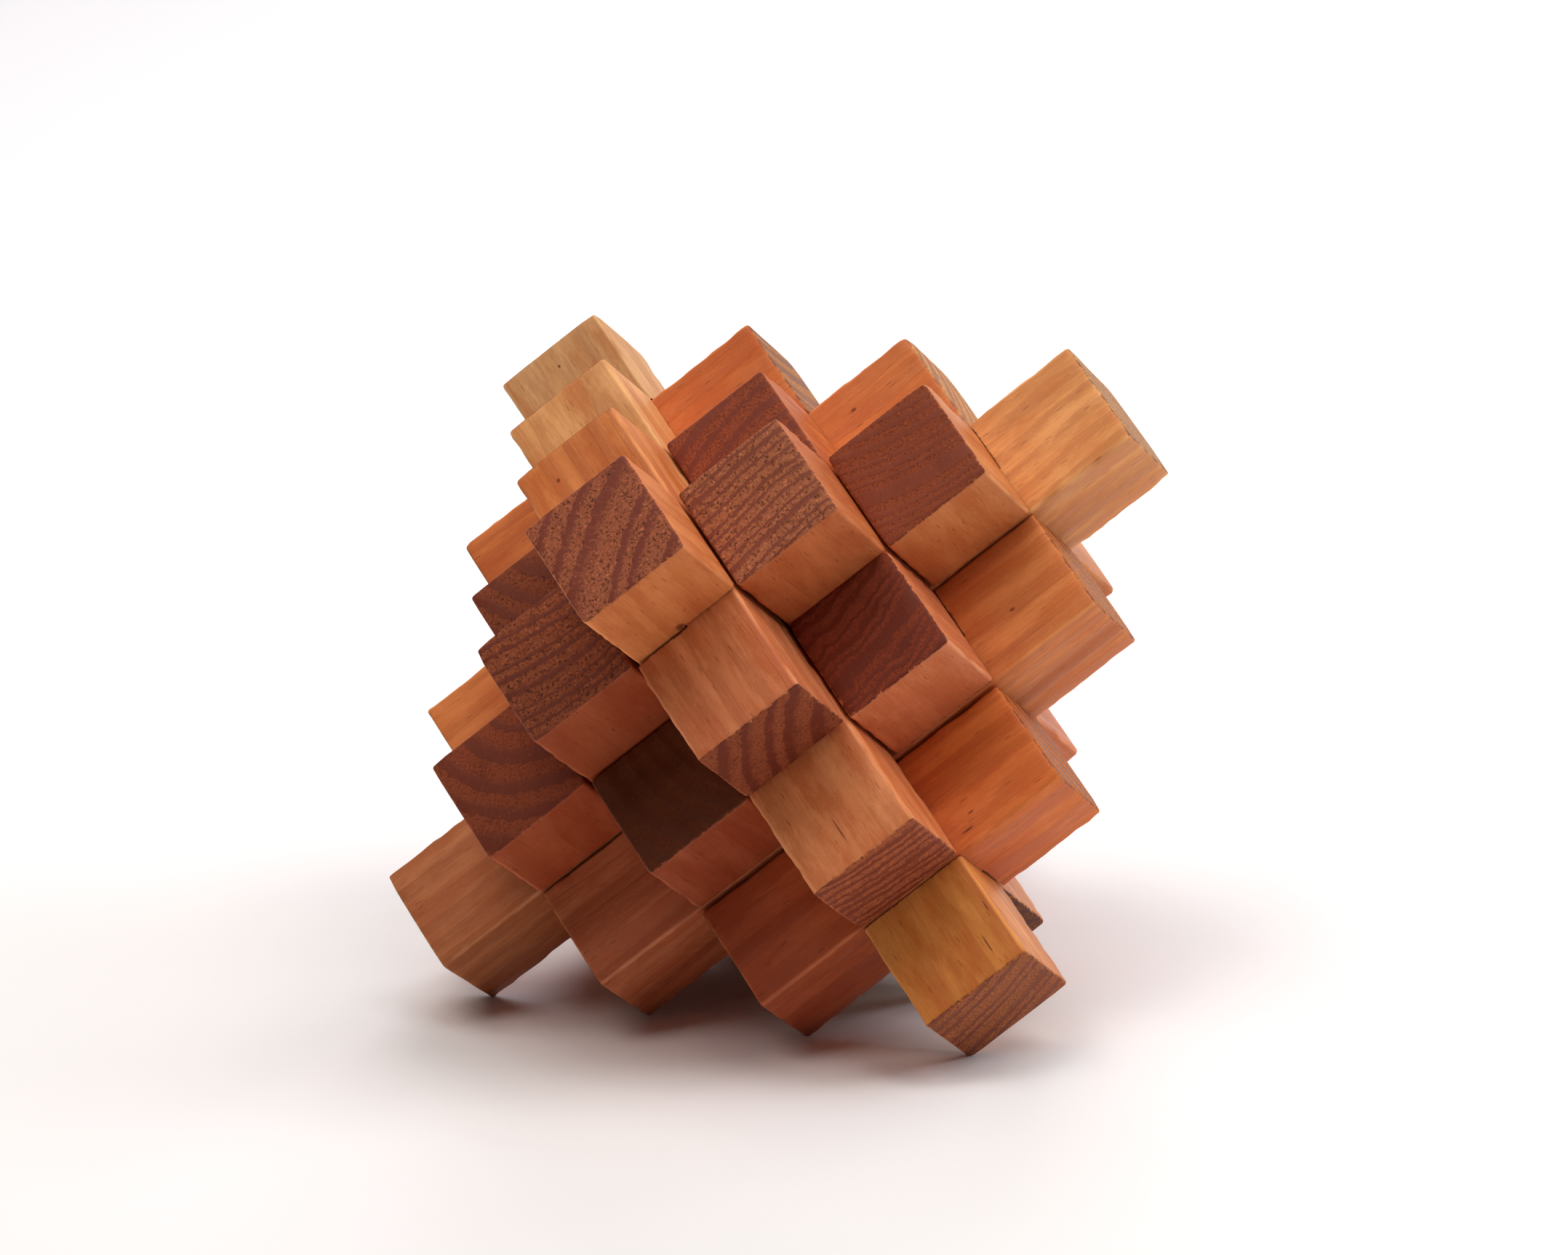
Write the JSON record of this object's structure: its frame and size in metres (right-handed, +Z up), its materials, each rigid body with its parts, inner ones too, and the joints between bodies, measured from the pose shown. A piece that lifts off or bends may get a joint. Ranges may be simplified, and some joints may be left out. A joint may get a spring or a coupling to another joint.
{
  "type": "wooden burr puzzle",
  "caption": "Stepped octahedral interlocking puzzle of square pine sticks, with hidden half-lap notches and a sliding key stick that unlocks it.",
  "frame": {"origin": "on the floor, under the centre of the puzzle's bounding box, which is also under its centre", "axes": "+Z up, along the shortest extent, equally inclined to the three stick directions; +Y away from the front, in the vertical plane of the front sticks and along the longest extent; +X to the right"},
  "size_m": [0.1082, 0.1246, 0.0987],
  "materials": {
    "honey_pine": "varnished pine, honey, satin",
    "orange_pine": "varnished pine, orange brown, satin",
    "red_pine": "varnished pine, red brown, satin",
    "brown_pine": "varnished pine, dark brown, satin"
  },
  "bodies": {
    "burr": {"right_short_upper": "orange_pine", "right_mid_upper": "orange_pine", "right_long": "orange_pine", "right_mid_lower": "orange_pine", "right_short_lower": "red_pine", "left_short_front": "honey_pine", "left_mid_front": "honey_pine", "left_long": "honey_pine", "left_mid_back": "honey_pine", "left_short_back": "orange_pine", "front_long": "orange_pine", "front_mid_left": "honey_pine", "front_short_right": "orange_pine", "front_short_left": "honey_pine", "front_corner_top": "orange_pine", "front_corner_right": "red_pine", "front_corner_left": "honey_pine", "front_corner_bottom": "brown_pine"},
    "key": {"key_stick": "orange_pine"}
  },
  "joints": [
    {"name": "key_slide", "type": "slide", "parent": "burr", "child": "key", "axis": [0, -0.8165, 0.5773], "range_m": [0, 0.0193]}
  ]
}
